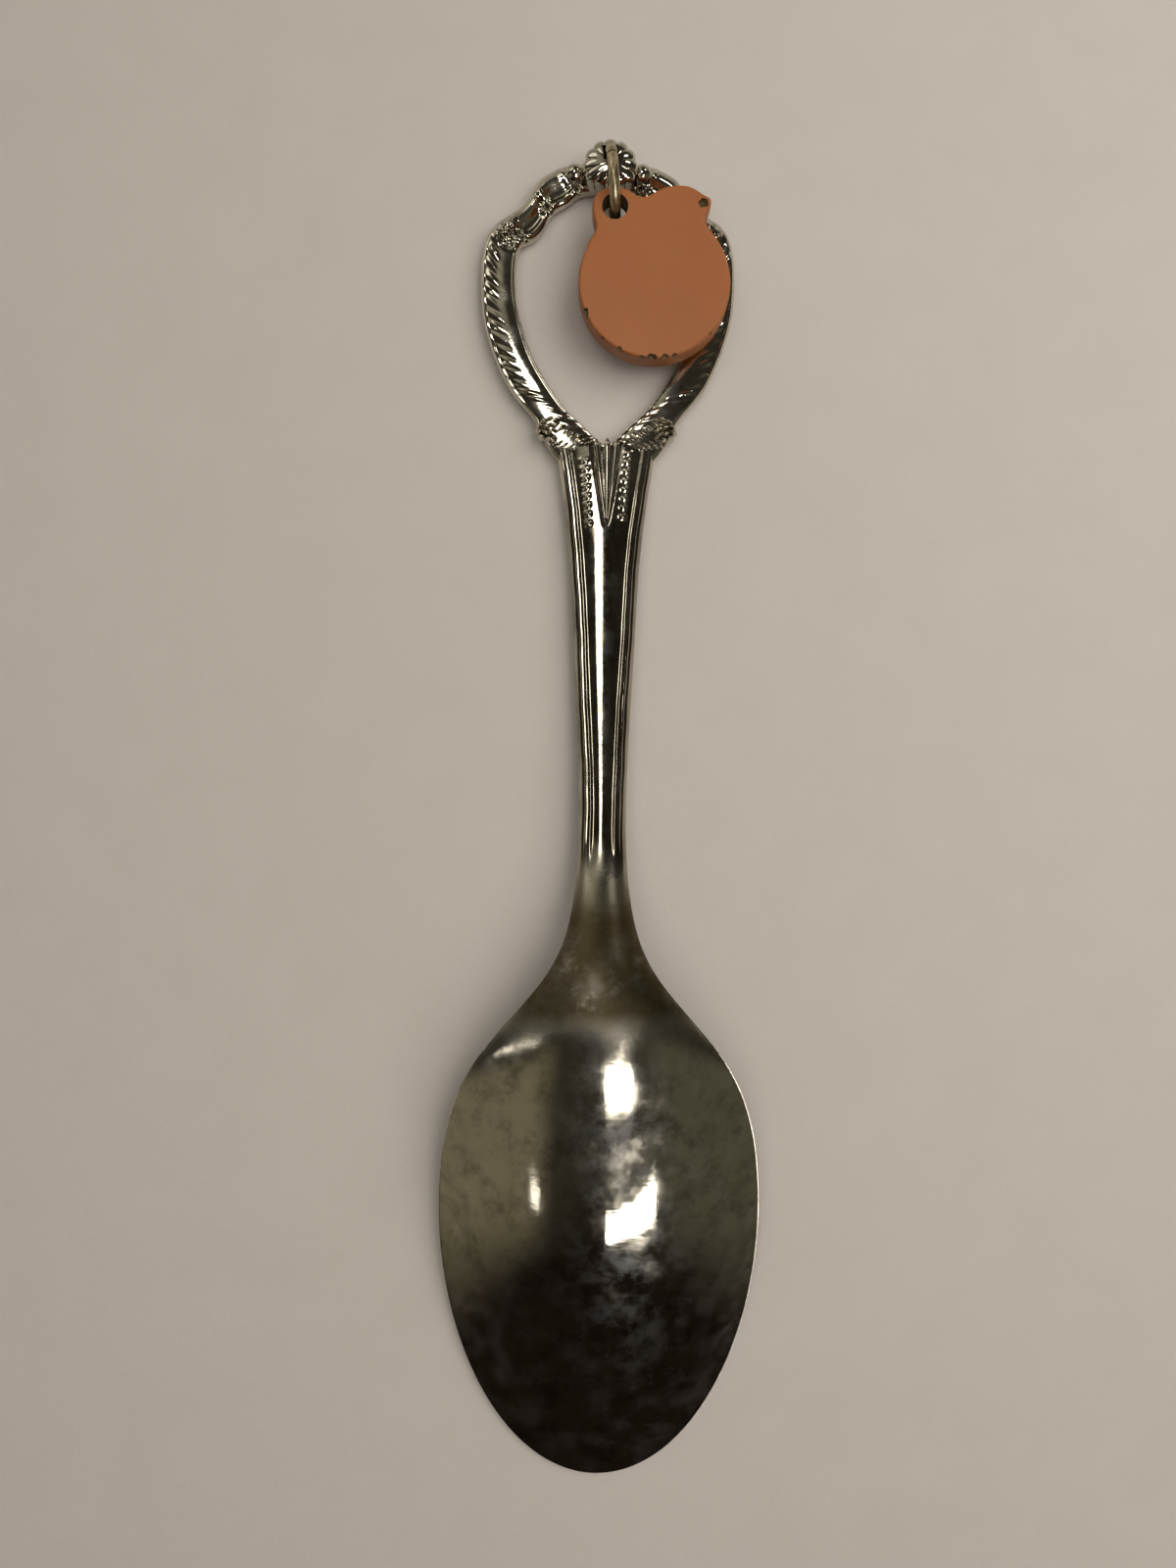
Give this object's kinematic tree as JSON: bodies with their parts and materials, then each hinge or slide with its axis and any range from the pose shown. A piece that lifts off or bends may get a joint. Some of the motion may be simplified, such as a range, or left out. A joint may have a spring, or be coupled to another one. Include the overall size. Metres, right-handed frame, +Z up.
{
  "type": "souvenir spoon",
  "caption": "Small collector's spoon with an openwork loop handle and a round charm that swings on a jump ring, lying face down.",
  "frame": {"origin": "on the ground under the middle of the object's box", "axes": "+Y from the bowl's tip towards the crest of the loop handle, +X to the right seen from above, +Z up from the surface it lies on, out of the back of the bowl"},
  "size_m": [0.0274, 0.115, 0.0091],
  "materials": {
    "plated_metal": "bright plated, hazy and scratched, with brown tarnish at the neck",
    "ring_wire": "dull tarnished brass wire",
    "charm_paint": "satin terracotta paint over die-cast metal, chipped at the edge"
  },
  "bodies": {
    "spoon": {"spoon": "plated_metal"},
    "jump_ring": {"jump_ring": "ring_wire"},
    "charm": {"charm": "charm_paint"}
  },
  "joints": [
    {"name": "ring_swing", "type": "hinge", "parent": "spoon", "child": "jump_ring", "pos_m": [0.00034, 0.0533, 0.00355], "axis": [-0.9968, -0.0802, 0], "range_deg": [0, 100]},
    {"name": "charm_swing", "type": "hinge", "parent": "jump_ring", "child": "charm", "pos_m": [0.00053, 0.05096, 0.00355], "axis": [0, 0, 1], "range_deg": [-85, 20]}
  ]
}
